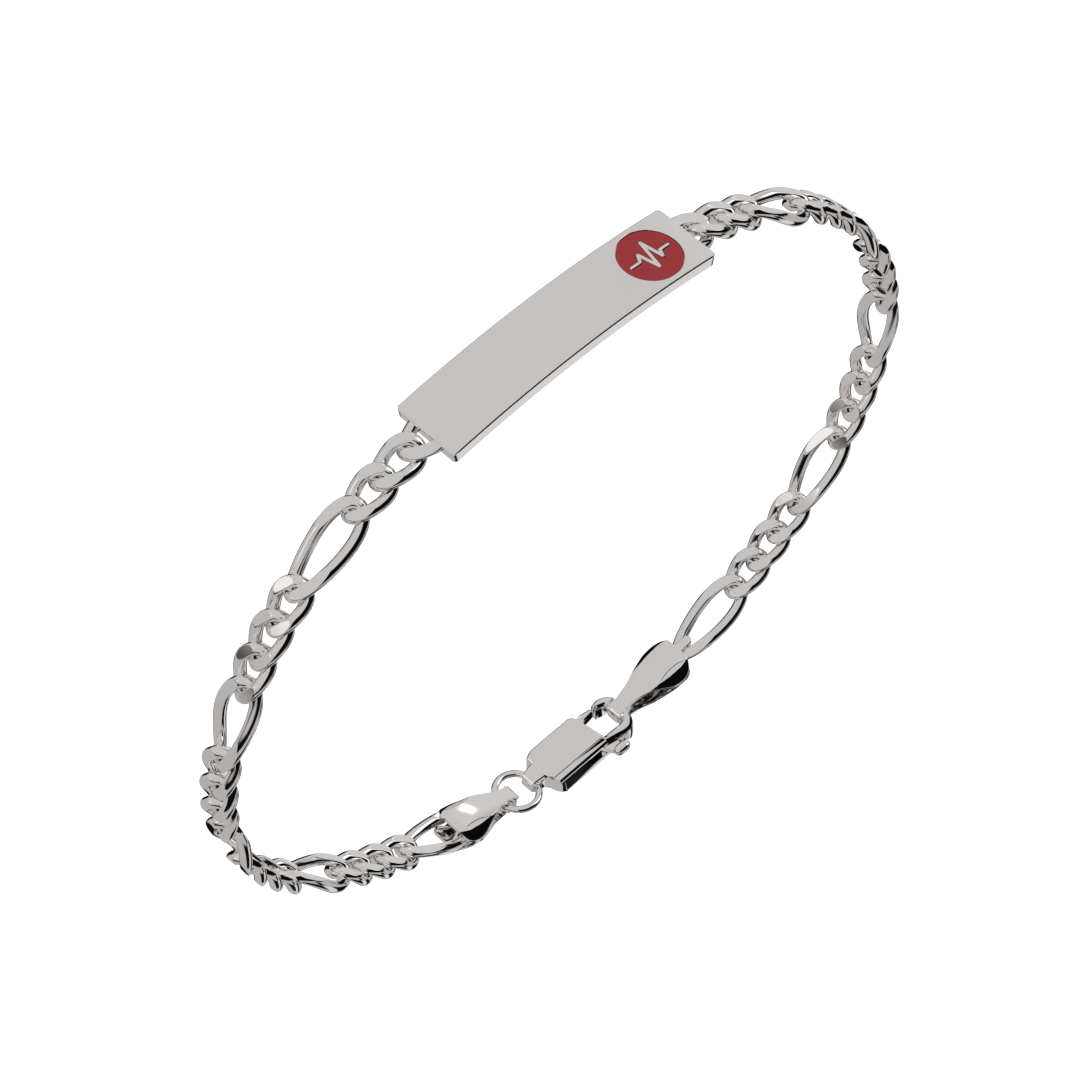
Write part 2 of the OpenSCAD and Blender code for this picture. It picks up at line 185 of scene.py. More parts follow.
# A link's twist, and half its length and width, to the middle of the wire. The chain's ground faces lie LINK_FACE
# from its middle, with edges rounded by LINK_ROUND and a bow of radius LINK_BOW.
LINKS_A_SIDE, LONG_EVERY = 19, 4
LINK_TWIST = {"small": 0.42, "long": 0.45}
LINK_HALF = {"small": (1.97, 1.14), "long": (3.91, 1.36)}
LINK_FACE, LINK_ROUND, LINK_BOW = 0.68, 0.06, 60.0
WIRE_RADIUS = 0.49
LINK_RINGS = {"small": 144, "long": 200}
FACET_STEPS, ROUND_STEPS, SIDE_STEPS = 4, 4, 8
# The least and greatest sines of the angles at which a bend begins and ends. They keep the angles in order where
# the wire stays clear of a face. A ring of the wire has a ground facet where its bend ends below the sine FACET_SINE.
BEND_BEGIN, BEND_END, FACET_SINE = (-0.9, 0.97), (-0.88, 0.985), 0.98


def ground_wire(half_length, half_width, twist, turns):
    """Round wire on the line (a cos t, b sin t, twist sin 2t), ground flat at the chain's two faces.

    Around the wire the angle goes up one side, over the top, down the other side and under. Each bend where the
    wire meets a face lies between the angles at which it is k below and k above that face,
    sin(angle) = (face -+ k - height) / radius. In a bend the distance d to the face becomes (d + k)^2 / 4k, and
    past it 0. The whole is bowed to a radius B by -x^2 / 2B, as the chain was ground in one curve. Also gives the
    marks of the points that lie on an edge of a ground facet."""
    t = turns[:, None]
    line = np.stack([half_length * np.cos(t), half_width * np.sin(t), twist * np.sin(2 * t)], axis=-1)
    run = np.stack([-half_length * np.sin(t), half_width * np.cos(t), 2 * twist * np.cos(2 * t)], axis=-1)
    run /= np.linalg.norm(run, axis=-1, keepdims=True)
    side = np.cross(run, [0, 0, 1])
    side /= np.linalg.norm(side, axis=-1, keepdims=True)
    rise = np.cross(side, run)
    reach = WIRE_RADIUS * rise[..., 2]
    near, past = LINK_FACE - LINK_ROUND, LINK_FACE + LINK_ROUND
    top = np.arcsin(np.clip((near - line[..., 2]) / reach, *BEND_BEGIN))
    crest = np.arcsin(np.clip((past - line[..., 2]) / reach, *BEND_END))
    low = -np.arcsin(np.clip((near + line[..., 2]) / reach, *BEND_BEGIN))
    trough = -np.arcsin(np.clip((past + line[..., 2]) / reach, *BEND_END))
    facet = np.arange(FACET_STEPS) / FACET_STEPS
    round_off = np.arange(ROUND_STEPS) / ROUND_STEPS
    flank = np.arange(SIDE_STEPS) / SIDE_STEPS
    around = np.concatenate([
        low + (top - low) * flank, top + (crest - top) * round_off, crest + (math.pi - 2 * crest) * facet,
        math.pi - crest + (crest - top) * round_off, math.pi - top + (top - low) * flank,
        math.pi - low + (low - trough) * round_off, math.pi - trough + (math.pi + 2 * trough) * facet,
        2 * math.pi + trough + (low - trough) * round_off], axis=1)[..., None]
    points = line + WIRE_RADIUS * (side * np.cos(around) + rise * np.sin(around))
    free = LINK_FACE - np.abs(points[..., 2])
    kept = np.where(free > LINK_ROUND, free, np.maximum(free + LINK_ROUND, 0) ** 2 / (4 * LINK_ROUND))
    points[..., 2] = np.sign(points[..., 2]) * (LINK_FACE - kept) - points[..., 0] ** 2 / (2 * LINK_BOW)
    crisp = np.zeros(points.shape[:2], bool)
    over, under = SIDE_STEPS + ROUND_STEPS, 2 * SIDE_STEPS + 3 * ROUND_STEPS + FACET_STEPS
    crisp[:, [over, over + FACET_STEPS]] = crest < math.asin(FACET_SINE)
    crisp[:, [under, under + FACET_STEPS]] = trough > -math.asin(FACET_SINE)
    return points, crisp


for side in ("left", "right"):
    for number in range(1, LINKS_A_SIDE + 1):
        name = f"link_{side}_{number:02d}"
        kind = "long" if number % LONG_EVERY == LONG_EVERY - 1 else "small"
        turns = np.arange(LINK_RINGS[kind]) * 2 * math.pi / LINK_RINGS[kind]
        wire, crisp = ground_wire(*LINK_HALF[kind], LINK_TWIST[kind], turns)
        piece = silver_piece(f"{name}_wire", placed(wire, node_frame(name)), skin(*wire.shape[:2], True, True),
                             "bracelet", crisp=crisp, columns=wire.shape[1])
        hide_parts(name)


# The identity plate: 1.1 mm sheet silver, cut to 25.4 x 5.8 mm, curved to lie on the wrist and bevelled all
# round. A round seat for the enamel is sunk near one end, with a pulse line standing in it, and half a link is
# soldered under each end to carry the chain.
PLATE_LENGTH, PLATE_WIDTH, PLATE_THICK, PLATE_BEND = 25.4, 5.8, 1.1, 77.0
PLATE_BEVEL, PLATE_CORNER = 0.12, 0.35
SEAT_ALONG, SEAT_RADIUS, SEAT_DEPTH, SEAT_LIP = 8.9, 2.45, 0.35, 0.04
SEAT_SHARES = (0, 0.35, 0.7, 1)
SEAT_STEPS, LEFT_STEPS, RIGHT_STEPS, CORNER_STEPS, BEVEL_STEPS = 24, 60, 6, 7, 4
# A rounded edge has one row between its ends, at this share of the rounding.
MIDWAY = 0.3


def bent(points):
    """Bends points (s, y, h) to the plate's arc: x = (R + h) sin(s / R), z = (R + h) cos(s / R) - R + half the
    thickness, with R the bend's radius at the middle of the thickness."""
    turn = points[..., 0] / PLATE_BEND
    radius = PLATE_BEND + points[..., 2]
    return np.stack([radius * np.sin(turn), points[..., 1], radius * np.cos(turn) - PLATE_BEND + PLATE_THICK / 2],
                    axis=-1)


def welded(parts):
    """Joins (points, faces) pairs into one list of points and one of faces, with each point kept once."""
    points = np.concatenate([p.reshape(-1, 3) for p, _ in parts])
    starts = np.cumsum([0] + [p.reshape(-1, 3).shape[0] for p, _ in parts])
    _, kept, new = np.unique(np.round(points, 5), axis=0, return_index=True, return_inverse=True)
    new = new.ravel()
    faces = []
    for (_, own), start in zip(parts, starts):
        for face in own:
            turned = list(dict.fromkeys(int(new[start + corner]) for corner in face))
            if len(turned) > 2:
                faces.append(turned)
    return points[kept], faces


# The flat face inside the bevel: its rows from the left end to the square round the seat, over that square, and on
# to the right end.
half_length, half_width = PLATE_LENGTH / 2 - PLATE_BEVEL, PLATE_WIDTH / 2 - PLATE_BEVEL
corner = PLATE_CORNER - PLATE_BEVEL
quarter = np.linspace(0, math.pi / 2, CORNER_STEPS)
spread = np.linspace(-1, 1, SEAT_STEPS + 1)
seat_run = SEAT_ALONG + half_width * spread
left_end = -half_length + corner * (1 - np.sin(quarter[::-1]))
right_end = half_length - corner * (1 - np.sin(quarter))
left_run = np.concatenate([left_end, np.linspace(-half_length + corner, seat_run[0], LEFT_STEPS)[1:]])
right_run = np.concatenate([np.linspace(seat_run[-1], half_length - corner, RIGHT_STEPS)[:-1], right_end])
plate_run = np.concatenate([left_run[:-1], seat_run, right_run[1:]])


def width_at(s):
    """Half width of the flat face at s: full, but for the rounded corners at both ends."""
    past = np.clip(np.abs(s) - (half_length - corner), 0, corner)
    return half_width - corner + np.sqrt(corner ** 2 - past ** 2)


def flipped(faces):
    """The same faces seen from their other side: each one's corners in the opposite order."""
    return [face[::-1] for face in faces]


def flat_strip(s, h, upwards):
    """The part of the face over the rows s, as wide as the face is there, at height h."""
    points = np.stack(np.broadcast_arrays(s[:, None], spread * width_at(s)[:, None], h), axis=-1)
    faces = skin(len(s), len(spread), False, False)
    return bent(points), faces if upwards else flipped(faces)


def seat():
    """The face round the medallion and the seat in it: rings from the square's outline to the circle, over a small
    lip, down the wall and across the floor to its middle. On the face a ring lies a share of the way from the
    square to the circle."""
    y = half_width * spread
    square = np.concatenate([np.stack([seat_run[:-1], np.full(SEAT_STEPS, -half_width)], -1),
                             np.stack([np.full(SEAT_STEPS, seat_run[-1]), y[:-1]], -1),
                             np.stack([seat_run[:0:-1], np.full(SEAT_STEPS, half_width)], -1),
                             np.stack([np.full(SEAT_STEPS, seat_run[0]), y[:0:-1]], -1)])
    away = square - [SEAT_ALONG, 0]
    circle = away / np.linalg.norm(away, axis=-1, keepdims=True)
    top, lip = PLATE_THICK / 2, MIDWAY * SEAT_LIP
    rings = [(away * (1 - share) + circle * (SEAT_RADIUS + SEAT_LIP) * share, top) for share in SEAT_SHARES]
    rings += [(circle * (SEAT_RADIUS + lip), top - lip), (circle * SEAT_RADIUS, top - SEAT_LIP),
              (circle * SEAT_RADIUS, top - SEAT_DEPTH), (circle * SEAT_RADIUS / 2, top - SEAT_DEPTH),
              (circle * 0, top - SEAT_DEPTH)]
    points = np.stack([np.concatenate([flat + [SEAT_ALONG, 0], np.full((len(flat), 1), h)], -1)
                       for flat, h in rings])
    return bent(points), flipped(skin(*points.shape[:2], False, True))


def plate_edge():
    """The bevelled wall round the plate: the face's outline pushed out along its normal by bevel sin(a) and down
    by bevel (1 - cos(a)), then straight down, then the same round under."""
    widths = width_at(plate_run)
    ends = spread[1:-1] * (half_width - corner)
    line = np.concatenate([np.stack([plate_run, -widths], -1), np.stack([np.full(len(ends), half_length), ends], -1),
                           np.stack([plate_run[::-1], widths[::-1]], -1),
                           np.stack([np.full(len(ends), -half_length), ends[::-1]], -1)])
    core = np.stack([np.clip(line[:, 0], corner - half_length, half_length - corner),
                     np.clip(line[:, 1], corner - half_width, half_width - corner)], -1)
    outward = line - core
    outward /= np.linalg.norm(outward, axis=-1, keepdims=True)
    bend = np.linspace(0, math.pi / 2, BEVEL_STEPS)
    out = np.concatenate([PLATE_BEVEL * np.sin(bend), PLATE_BEVEL * np.sin(bend[::-1])])
    down = PLATE_THICK / 2 - PLATE_BEVEL * (1 - np.cos(bend))
    height = np.concatenate([down, -down[::-1]])
    points = np.concatenate([line + out[:, None, None] * outward,
                             np.broadcast_to(height[:, None, None], (len(out), len(line), 1))], -1)
    return bent(points), flipped(skin(*points.shape[:2], False, True))


def capped(rows, columns):
    """The faces of a tube of closed rows with one flat face on each end."""
    last = (rows - 1) * columns
    return skin(rows, columns, False, True) + [list(range(columns)), list(range(last + columns - 1, last - 1, -1))]


# A y that lies below every line, for a level without a least y.
NO_LIMIT = -99.0


def slab(line, levels):
    """A solid over a closed counterclockwise line: one ring for each (height, inset) or (height, inset, least y)
    from the top down, moved in along the corners' mitres, with a flat face on both ends. The mitre of two edges is
    (a + b) / (1 + a . b), with a and b their outward normals."""
    ahead = np.roll(line, -1, axis=0) - line
    ahead = ahead / np.linalg.norm(ahead, axis=-1, keepdims=True)
    normal = np.stack([ahead[:, 1], -ahead[:, 0]], -1)
    before = np.roll(normal, 1, axis=0)
    mitre = (normal + before) / (1 + (normal * before).sum(axis=-1, keepdims=True))
    points = np.stack([np.concatenate([np.maximum(line - inset * mitre, [NO_LIMIT, *(least or [NO_LIMIT])]),
                                       np.full((len(line), 1), height)], -1) for height, inset, *least in levels])
    return points.reshape(-1, 3), capped(len(levels), len(line))


def stadium(a, b, radius, steps=10):
    """The outline of a round-ended bar from a to b: half a circle round each end."""
    turn = math.atan2(b[1] - a[1], b[0] - a[0])
    half = turn + np.linspace(-math.pi / 2, math.pi / 2, steps)
    circle = lambda middle, angle: np.array(middle) + radius * np.stack([np.cos(angle), np.sin(angle)], -1)
    return np.concatenate([circle(b, half), circle(a, half + math.pi)])


# The pulse line from corner to corner, about the seat's middle, and its bars' (height, inset) levels.
PULSE = [(-1.8, 0), (-0.95, 0), (-0.6, 0.6), (-0.15, -1.15), (0.35, 1.35), (0.75, -0.55), (1, 0), (1.8, 0)]
PULSE_HALF = 0.15
PULSE_LEVELS = [(0.51, 0.1), (0.49, 0.045), (0.45, 0.012), (0.4, 0), (0.12, 0)]
PLATE_CREASE = 14
pulse_bars = [slab(stadium(a, b, PULSE_HALF), PULSE_LEVELS) for a, b in zip(PULSE, PULSE[1:])]
# The bevelled sheet of the plate, with the pulse line standing on the seat's floor.
parts = [flat_strip(left_run, PLATE_THICK / 2, True), seat(), flat_strip(right_run, PLATE_THICK / 2, True),
         plate_edge(), flat_strip(plate_run, -PLATE_THICK / 2, False)]
parts += [(bent(points + [SEAT_ALONG, 0, 0]), faces) for points, faces in pulse_bars]
plate_points, plate_faces = welded(parts)
plate = silver_piece("plate_silver", plate_points, plate_faces, "bracelet", PLATE_CREASE)
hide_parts("plate")

# The half links: ground flat like the others, but nowhere nearer to the plate's faces than HALF_LINK_SUNK.
HALF_LINK_AXES, HALF_LINK_ROOT, HALF_LINK_SUNK, HALF_LINK_RINGS = (2.33, 1.29), 0.45, 0.1, 73
for side, way in (("left", -1), ("right", 1)):
    s = way * (PLATE_LENGTH / 2 - HALF_LINK_ROOT)
    turn = s / PLATE_BEND
    turns = -way * math.pi / 2 + np.linspace(0, math.pi, HALF_LINK_RINGS)
    wire, crisp = ground_wire(*HALF_LINK_AXES, LINK_TWIST["small"], turns)
    wire[..., 2] = np.clip(wire[..., 2], HALF_LINK_SUNK - PLATE_THICK / 2, PLATE_THICK / 2 - HALF_LINK_SUNK)
    root = (bent(np.array([s, 0, 0])), np.array([math.cos(turn), 0, -math.sin(turn)]),
            np.array([math.sin(turn), 0, math.cos(turn)]))
    half_link = silver_piece(f"plate_half_link_{side}", placed(wire, root), capped(*wire.shape[:2]), "bracelet",
                             crisp=crisp, columns=wire.shape[1])
    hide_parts("plate")


# The medallion's enamel: red glass laid into the seat as powder, fired and ground level round the pulse line. Its
# surface is 0.08 mm below the silver, and creeps up a little where it meets the wall.
ENAMEL_RADIUS, ENAMEL_TOP, ENAMEL_FLOOR, ENAMEL_PLAY, ENAMEL_CREEP = 2.42, 0.47, 0.22, 0.03, 0.03
ENAMEL_GROOVE = [(0.7, 0), (0.1, 0)]
ENAMEL_STEPS, ENAMEL_CREASE = 96, 30
SOFTENED_ANGLE = 25


def forged(steps, rounding=0.0):
    """One solid from (operation, solid) steps: each next one is joined to, or cut from, what is there. Then edges
    that turn by more than SOFTENED_ANGLE degrees are rounded a little."""
    blanks = []
    for operation, (points, faces) in steps:
        mesh = bpy.data.meshes.new("blank")
        mesh.from_pydata(points.reshape(-1, 3).tolist(), [], faces)
        blank = bpy.data.objects.new("blank", mesh)
        bpy.context.scene.collection.objects.link(blank)
        if blanks:
            step = blanks[0].modifiers.new("step", "BOOLEAN")
            step.operation, step.object, step.solver = operation, blank, "EXACT"
        blanks.append(blank)
    if rounding:
        soften = blanks[0].modifiers.new("soften", "BEVEL")
        soften.width, soften.segments, soften.angle_limit = rounding, 2, math.radians(SOFTENED_ANGLE)
    worked = bpy.data.meshes.new_from_object(blanks[0].evaluated_get(bpy.context.evaluated_depsgraph_get()))
    flat = np.empty(len(worked.vertices) * 3, np.float32)
    worked.vertices.foreach_get("co", flat)
    faces = [list(polygon.vertices) for polygon in worked.polygons]
    for blank in blanks:
        bpy.data.objects.remove(blank)
    return flat.reshape(-1, 3).astype(float), faces


def enamel_disc():
    """Rings from the middle out to the rim and down the wall: the height is that of the middle plus creep times
    share^12, with share the ring's radius over the rim's. Flat below."""
    share = np.concatenate([np.linspace(0.02, 0.9, 12), np.linspace(0.92, 1, 6), [1]])
    radius = ENAMEL_RADIUS * share
    height = ENAMEL_TOP - ENAMEL_CREEP + ENAMEL_CREEP * share ** 12
    height[-1] = ENAMEL_FLOOR
    around = np.arange(ENAMEL_STEPS) * 2 * math.pi / ENAMEL_STEPS
    points = np.stack(np.broadcast_arrays(radius[:, None] * np.cos(around), radius[:, None] * np.sin(around),
                                          height[:, None]), -1)
    return points, capped(*points.shape[:2])


grooves = [slab(stadium(a, b, PULSE_HALF + ENAMEL_PLAY), ENAMEL_GROOVE) for a, b in zip(PULSE, PULSE[1:])]
enamel_points, enamel_faces = forged([("UNION", enamel_disc())] + [("DIFFERENCE", g) for g in grooves])
enamel = silver_piece("medallion_enamel_glaze", bent(enamel_points + [SEAT_ALONG, 0, 0]), enamel_faces, "bracelet",
                      ENAMEL_CREASE)

# Fired enamel: red glass with a clear surface, mottled by the grains of the powder that it was melted from.
ENAMEL_GRAINS, ENAMEL_CLOUDS, ENAMEL_CLOUD_DETAIL, ENAMEL_HAZE = 5200.0, 900.0, 2.0, 700.0
ENAMEL_BRIGHT, ENAMEL_DEEP = (0.205, 0.009, 0.012, 1), (0.14, 0.006, 0.008, 1)
ENAMEL_POLISH, ENAMEL_DULL, ENAMEL_IOR = 0.04, 0.12, 1.52
glaze = bpy.data.materials.new("red_enamel")
glaze.use_nodes = True
tree = glaze.node_tree
shader = tree.nodes["Principled BSDF"]
place = node(tree, "ShaderNodeTexCoord").outputs["Object"]
grains = node(tree, "ShaderNodeTexVoronoi", None, {"Vector": place, "Scale": ENAMEL_GRAINS})
clouds = node(tree, "ShaderNodeTexNoise", None,
              {"Vector": place, "Scale": ENAMEL_CLOUDS, "Detail": ENAMEL_CLOUD_DETAIL})
mottle = node(tree, "ShaderNodeMath", {"operation": "MULTIPLY"},
              {0: grains.outputs["Distance"], 1: clouds.outputs["Fac"]})
red = node(tree, "ShaderNodeMix", {"data_type": "RGBA"},
           {"Factor": mottle.outputs[0], MIX_FIRST: ENAMEL_BRIGHT, MIX_SECOND: ENAMEL_DEEP})
worn = node(tree, "ShaderNodeGroup", {"node_tree": haze},
            {"Position": place, "Clouds per Metre": ENAMEL_HAZE}).outputs["Haze"]
dull = node(tree, "ShaderNodeMapRange", None, {"Value": worn, "To Min": ENAMEL_POLISH, "To Max": ENAMEL_DULL})
tree.links.new(red.outputs[MIX_RESULT], shader.inputs["Base Color"])
tree.links.new(dull.outputs["Result"], shader.inputs["Roughness"])
shader.inputs["IOR"].default_value = ENAMEL_IOR
enamel.data.materials[0] = glaze
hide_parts("medallion_enamel")


# The two end caps: each is one strip of 0.28 mm sheet silver, cut to a leaf at both ends and folded over in the
# middle. A round post through the leaves holds the chain's last long link; the fold takes the ring or the bar.
CAP_LENGTH, CAP_SHEET, CAP_FOLD, CAP_RIM = 7.9, 0.28, 0.6, 0.035
CAP_TILT = {"left": -20.6, "right": 189.2}
CAP_POST = {"left": 1.58, "right": -1.02}
CAP_POST_RADIUS, CAP_POST_REACH, CAP_POST_EDGE = 0.27, 1.05, 0.01
# The right cap's post stands past its mouth, on two ears: the low side of each, and the thickness and rounding.
CAP_EARS, EAR_THICK, EAR_EDGE, EAR_RADIUS, EAR_ROOT = (-1.1, 0.82), 0.28, 0.04, 0.4, 0.3
# At distances from the mouth: half the leaf's width, the height of its inside, and the width of its turned-down
# side. The falls are how far the leaf sinks for each millimetre towards its side.
CAP_PLAN = ([0, 0.35, 0.9, 1.5, 2.2, 3.5, 4.6, 5.6, 6.6, 7.75, 7.9],
            [1.1, 1.6, 1.95, 2.05, 2.0, 1.5, 1.05, 0.76, 0.64, 0.6, 0.45])
CAP_HOLLOW = ([0, 0.9, 1.8, 4.6, 7.02], [0.86, 1.0, 1.03, 0.84, 0.6])
CAP_RIDGE, CAP_TOP, CAP_FALL, CAP_CROWN = 0.85, 1.06, 0.3, 0.035
CAP_SIDE = ([0, 0.35, 1.3, 2.4, 3.6, 4.6, 7.9], [0.08, 0.34, 0.64, 0.6, 0.26, 0.07, 0.06])
CAP_SIDE_FALL, CAP_LINE, CAP_LINE_FALL, CAP_LEAST_FLANK = 0.98, 0.035, 1.2, 0.02
CAP_LEAF_ROWS, CAP_FOLD_ROWS, CAP_RIM_STEPS, CAP_MIDDLE_STEPS, CAP_FLANK_STEPS = 60, 19, 6, 15, 7
CAP_CREASE = 22


def curve(knots, values, at):
    """A smooth line through values at knots: on each piece the cubic that has the values and slopes of both ends."""
    knots, values = np.array(knots, float), np.array(values, float)
    slopes = np.gradient(values, knots)
    i = np.clip(np.searchsorted(knots, at, side="right") - 1, 0, len(knots) - 2)
    gap = knots[i + 1] - knots[i]
    t = (at - knots[i]) / gap
    return (values[i] * (1 - t) ** 2 * (1 + 2 * t) + values[i + 1] * t ** 2 * (3 - 2 * t)
            + gap * (slopes[i] * t * (1 - t) ** 2 - slopes[i + 1] * t ** 2 * (1 - t)))


def folded_sheet():
    """The strip from one mouth over the fold to the other. At each station along it the section goes over the
    outside, round one rim, back along the inside and round the other. A leaf's inside lies at the lower of the
    hollow's height and the roof top - fall (|y| - ridge); the two meet in a crease, where a row of points lies.
    From a second crease on, the brow, the leaf's sides are turned down more steeply. Its middle is crowned by
    crown y^2, and a fine step is cut along the first crease."""
    rim = np.linspace(0, math.pi / 2, CAP_RIM_STEPS)
    fold_start = CAP_HOLLOW[0][-1]
    leaf = np.concatenate([CAP_RIM - CAP_RIM * np.sin(rim[::-1]),
                           np.linspace(CAP_RIM, fold_start, CAP_LEAF_ROWS)[1:]])
    thinned = np.zeros(len(leaf))
    thinned[:CAP_RIM_STEPS] = CAP_RIM * (1 - np.cos(rim[::-1]))
    bend = np.linspace(0, math.pi, CAP_FOLD_ROWS)[1:-1]
    reach = np.concatenate([leaf, fold_start + (CAP_FOLD + CAP_SHEET) * np.sin(bend), leaf[::-1]])
    hollow = np.concatenate([curve(*CAP_HOLLOW, leaf), np.full(len(bend), CAP_FOLD), curve(*CAP_HOLLOW, leaf[::-1])])
    thin = np.concatenate([thinned, np.zeros(len(bend)), thinned[::-1]])
    wide = curve(*CAP_PLAN, np.minimum(reach, CAP_LENGTH))
    brow = wide - curve(*CAP_SIDE, np.minimum(reach, CAP_LENGTH))
    crease = np.minimum(CAP_RIDGE + (CAP_TOP - hollow) / CAP_FALL, brow - CAP_LEAST_FLANK)
    middle = crease[:, None] * np.linspace(-1, 1, CAP_MIDDLE_STEPS)
    flank = crease[:, None] + (brow - crease)[:, None] * np.linspace(0, 1, CAP_FLANK_STEPS)[1:]
    line = np.minimum(CAP_LINE, (brow - crease) / 8)[:, None]
    flank = np.concatenate([crease[:, None] + line, flank], axis=1)
    slope = brow[:, None] + (wide - brow - CAP_RIM)[:, None] * np.linspace(0, 0.99, CAP_RIM_STEPS)[1:]
    edge = (wide - CAP_RIM)[:, None] + CAP_RIM * np.sin(rim[1:])
    half = np.concatenate([flank, slope, edge], axis=1)
    y = np.concatenate([-half[:, ::-1], middle, half], axis=1)
    low = np.zeros(y.shape[1])
    low[1 - CAP_RIM_STEPS:] = CAP_RIM * (1 - np.cos(rim[1:]))
    low = low + low[::-1]
    outer = CAP_SHEET - CAP_CROWN * np.minimum(np.abs(y), crease[:, None]) ** 2 - low
    outer -= CAP_LINE_FALL * np.clip(np.abs(y) - crease[:, None], 0, line)
    y = np.concatenate([y, y[:, ::-1]], axis=1)
    lift = np.concatenate([outer, np.broadcast_to(low[::-1], outer.shape)], axis=1)
    lift = np.clip(lift, thin[:, None], CAP_SHEET - thin[:, None])
    roof = (CAP_TOP - CAP_FALL * (np.abs(y) - CAP_RIDGE)
            - CAP_SIDE_FALL * np.maximum(np.abs(y) - brow[:, None], 0))
    height = np.minimum(hollow[:, None], roof) + lift
    turn = np.concatenate([np.zeros(len(leaf)), bend, np.full(len(leaf), math.pi)])[:, None]
    station = np.concatenate([leaf, np.full(len(bend), fold_start), leaf[::-1]])[:, None]
    points = np.stack([station + height * np.sin(turn), y, height * np.cos(turn)], -1)
    return points.reshape(-1, 3), flipped(capped(*points.shape[:2]))


def drum(radius, low, high, middle, rounding=0.03, steps=40):
    """A round bar along the height, with its edges rounded, about a middle (s, y)."""
    around = np.arange(steps) * 2 * math.pi / steps
    circle = np.array(middle) + radius * np.stack([np.cos(around), np.sin(around)], -1)
    between = MIDWAY * rounding
    return slab(circle, [(high, rounding), (high - between, between), (high - rounding, 0),
                         (low + rounding, 0), (low + between, between), (low, rounding)])


for side in ("left", "right"):
    name = f"end_cap_{side}"
    tilt = math.radians(CAP_TILT[side])
    along = np.array([math.cos(tilt), 0, math.sin(tilt)])
    out = np.array([-math.sin(tilt), 0, math.cos(tilt)])
    own = node_points(name)
    heights = own @ out
    mouth = ((own @ along).max() - CAP_LENGTH) * along + (heights.max() + heights.min()) / 2 * out
    post = CAP_POST[side]
    parts = [folded_sheet(), drum(CAP_POST_RADIUS, -CAP_POST_REACH, CAP_POST_REACH, (post, 0), CAP_POST_EDGE)]
    if post < 0:
        for low in CAP_EARS:
            ear = [(low + EAR_THICK, EAR_EDGE), (low + EAR_THICK - EAR_EDGE, 0), (low + EAR_EDGE, 0), (low, EAR_EDGE)]
            parts.append(slab(stadium((post, 0), (EAR_ROOT, 0), EAR_RADIUS, 24), ear))
    cap_points, cap_faces = welded(parts)
    cap = silver_piece(f"{name}_sheet", placed(cap_points, (mouth, along, out)), cap_faces, "bracelet", CAP_CREASE)
    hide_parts(name)


# The jump ring between the left cap's fold and the clasp's tail: round wire bent to a ring, its ends closed. The
# wire's circle, of radius w, is carried round the ring's, of radius R:
# ((R + w cos v) cos u, (R + w cos v) sin u, w sin v).
RING_RADIUS, RING_WIRE = 1.8, 0.3
RING_STEPS, RING_WIRE_STEPS, RING_CREASE = 96, 24, 30
around = np.arange(RING_STEPS)[:, None] * 2 * math.pi / RING_STEPS
across = np.arange(RING_WIRE_STEPS)[None, :] * 2 * math.pi / RING_WIRE_STEPS
ring_out = RING_RADIUS + RING_WIRE * np.cos(across)
ring = np.stack(np.broadcast_arrays(ring_out * np.cos(around), ring_out * np.sin(around),
                                    RING_WIRE * np.sin(across)), -1)
ring_faces = flipped(skin(RING_STEPS, RING_WIRE_STEPS, True, True))
jump_ring = silver_piece("jump_ring_wire", placed(ring, node_frame("jump_ring")), ring_faces, "bracelet", RING_CREASE)
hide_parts("jump_ring")


# The clasp's body: a lobster claw stamped and ground in silver, 2 mm thick. A flat-topped block ends in a round
# tail with a hole for the jump ring; a hooked arm goes round the mouth, and its waist holds the right cap's fold.
# A slot in the block takes the lever, on a pin from below.
# Points are (s, y, depth): along the clasp from its tail, across it, and from its flat top down, below 0.
CLASP_TILT, CLASP_BACK, CLASP_CREASE, CLASP_SOFTENED = 2.21947, 0.2, 14, 0.03
PIVOT_SIDE = 0.75
TAIL_MIDDLE, TAIL_RADIUS, TAIL_HOLE, TAIL_HOLE_RADIUS = (0.7, -0.94), 0.9, (0.52, -0.925), 0.45
TAIL_TAPER = ([-0.3, 0.5, 1.6], [0.56, 0.7, 0.84])
BAR_RADIUS, BAR_HALF, BAR_DEPTH, BAR_FROM_PIVOT = 0.4, 1.1, 1.56, 4.3
NECK_BEHIND, NECK_AHEAD, NECK_HALF = 1.1, 1.3, 0.74
SLOT_TOP, SLOT_FLOOR, SLOT_DRUM, PIN_BORE, PIN_BORE_TOP = -0.55, -1.29, 0.75, 0.34, -0.18
CUT_EDGE, OUTLINE_STEP = 0.001, 0.07
tilt = math.radians(CLASP_TILT)
clasp_along = np.array([math.cos(tilt), 0, math.sin(tilt)])
clasp_out = np.array([-math.sin(tilt), 0, math.cos(tilt)])
own = node_points("clasp_body")
clasp_start = ((own @ clasp_along).min() + CLASP_BACK) * clasp_along + (own @ clasp_out).max() * clasp_out
clasp_place = (clasp_start, clasp_along, clasp_out)
own = node_points("lever_pin")
pivot = np.array([(own.max(axis=0) + own.min(axis=0)) @ clasp_along / 2 - clasp_start @ clasp_along, PIVOT_SIDE])


def outline(*runs):
    """A closed line of runs from corner to corner, each a smooth line through its points in steps of about
    OUTLINE_STEP, or straight where it has two."""
    line = []
    for run in runs:
        run = np.array(run, float)
        length = np.concatenate([[0], np.cumsum(np.linalg.norm(np.diff(run, axis=0), axis=1))])
        at = np.linspace(0, length[-1], max(3, int(length[-1] / OUTLINE_STEP)) if len(run) > 2 else 2)[:-1]
        line.append(np.stack([curve(length, run[:, 0], at), curve(length, run[:, 1], at)], -1))
    return np.concatenate(line)


